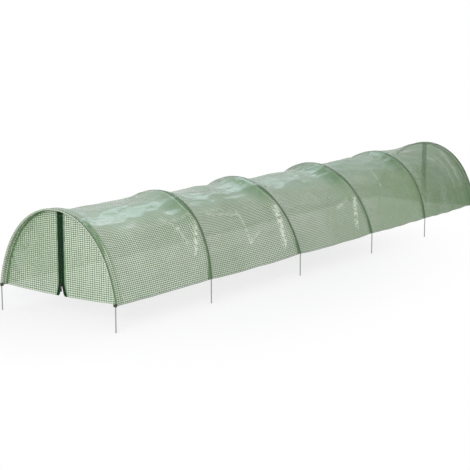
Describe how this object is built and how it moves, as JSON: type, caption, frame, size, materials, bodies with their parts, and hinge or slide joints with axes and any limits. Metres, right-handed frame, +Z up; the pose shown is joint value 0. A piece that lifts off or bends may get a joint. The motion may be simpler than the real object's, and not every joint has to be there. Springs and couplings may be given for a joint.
{
  "type": "row cover tunnel",
  "caption": "Low garden tunnel: translucent reinforced film over bent wire hoops that push into the soil, with a zipped door at each end.",
  "frame": {"origin": "middle of the tunnel's base, level with the tips of the hoops' legs", "axes": "+X along the tunnel from the front door to the rear door, +Y to its left side, +Z up"},
  "size_m": [3.0092, 0.609, 0.4346],
  "materials": {
    "galvanised_steel": "galvanised wire, dull grey",
    "green_film": "translucent green polyethylene film with a woven reinforcing grid, soft gloss",
    "doubled_film": "the same film sewn double, darker green",
    "zip_tape": "woven polyester tape, dark green",
    "zip_teeth": "moulded nylon teeth, near black",
    "slider_metal": "die-cast slider and pull, dark enamel"
  },
  "bodies": {
    "tunnel": {"hoop_1": "galvanised_steel", "hoop_2": "galvanised_steel", "hoop_3": "galvanised_steel", "hoop_4": "galvanised_steel", "hoop_5": "galvanised_steel", "hoop_6": "galvanised_steel", "cover_sheet": "green_film", "pocket_1": "doubled_film", "pocket_2": "doubled_film", "pocket_3": "doubled_film", "pocket_4": "doubled_film", "pocket_5": "doubled_film", "pocket_6": "doubled_film", "front_left_side": "green_film", "front_right_side": "green_film", "front_zip_end": "zip_tape", "rear_left_side": "green_film", "rear_right_side": "green_film", "rear_zip_end": "zip_tape"},
    "front_left_half": {"front_left_flap": "green_film", "front_left_tape": "zip_tape", "front_left_teeth": "zip_teeth"},
    "front_right_half": {"front_right_flap": "green_film", "front_right_tape": "zip_tape", "front_right_teeth": "zip_teeth"},
    "front_slider_body": {"front_slider": "slider_metal"},
    "front_pull_body": {"front_pull": "slider_metal"},
    "rear_left_half": {"rear_left_flap": "green_film", "rear_left_tape": "zip_tape", "rear_left_teeth": "zip_teeth"},
    "rear_right_half": {"rear_right_flap": "green_film", "rear_right_tape": "zip_tape", "rear_right_teeth": "zip_teeth"},
    "rear_slider_body": {"rear_slider": "slider_metal"},
    "rear_pull_body": {"rear_pull": "slider_metal"}
  },
  "joints": [
    {"name": "front_left_fold", "type": "hinge", "parent": "tunnel", "child": "front_left_half", "pos_m": [-1.4705, 0.282, 0.1], "axis": [0, 0.6592, -0.752], "range_deg": [0, 125]},
    {"name": "front_right_fold", "type": "hinge", "parent": "tunnel", "child": "front_right_half", "pos_m": [-1.4705, -0.282, 0.1], "axis": [0, 0.6592, 0.752], "range_deg": [0, 125]},
    {"name": "front_zip", "type": "slide", "parent": "tunnel", "child": "front_slider_body", "axis": [0, 0, 1], "range_m": [0, 0.256]},
    {"name": "front_pull_swing", "type": "hinge", "parent": "front_slider_body", "child": "front_pull_body", "pos_m": [-1.4748, 0, 0.1358], "axis": [0, 1, 0], "range_deg": [0, 170]},
    {"name": "rear_left_fold", "type": "hinge", "parent": "tunnel", "child": "rear_left_half", "pos_m": [1.4705, 0.282, 0.1], "axis": [0, -0.6592, 0.752], "range_deg": [0, 125]},
    {"name": "rear_right_fold", "type": "hinge", "parent": "tunnel", "child": "rear_right_half", "pos_m": [1.4705, -0.282, 0.1], "axis": [0, -0.6592, -0.752], "range_deg": [0, 125]},
    {"name": "rear_zip", "type": "slide", "parent": "tunnel", "child": "rear_slider_body", "axis": [0, 0, 1], "range_m": [0, 0.256]},
    {"name": "rear_pull_swing", "type": "hinge", "parent": "rear_slider_body", "child": "rear_pull_body", "pos_m": [1.4748, 0, 0.1358], "axis": [0, -1, 0], "range_deg": [0, 170]}
  ],
  "couplings": [
    {"joint": "front_right_fold", "follows": "front_left_fold", "ratio": 1},
    {"joint": "front_zip", "follows": "front_left_fold", "m_per_rad": 0.1172},
    {"joint": "rear_right_fold", "follows": "rear_left_fold", "ratio": 1},
    {"joint": "rear_zip", "follows": "rear_left_fold", "m_per_rad": 0.1172}
  ]
}
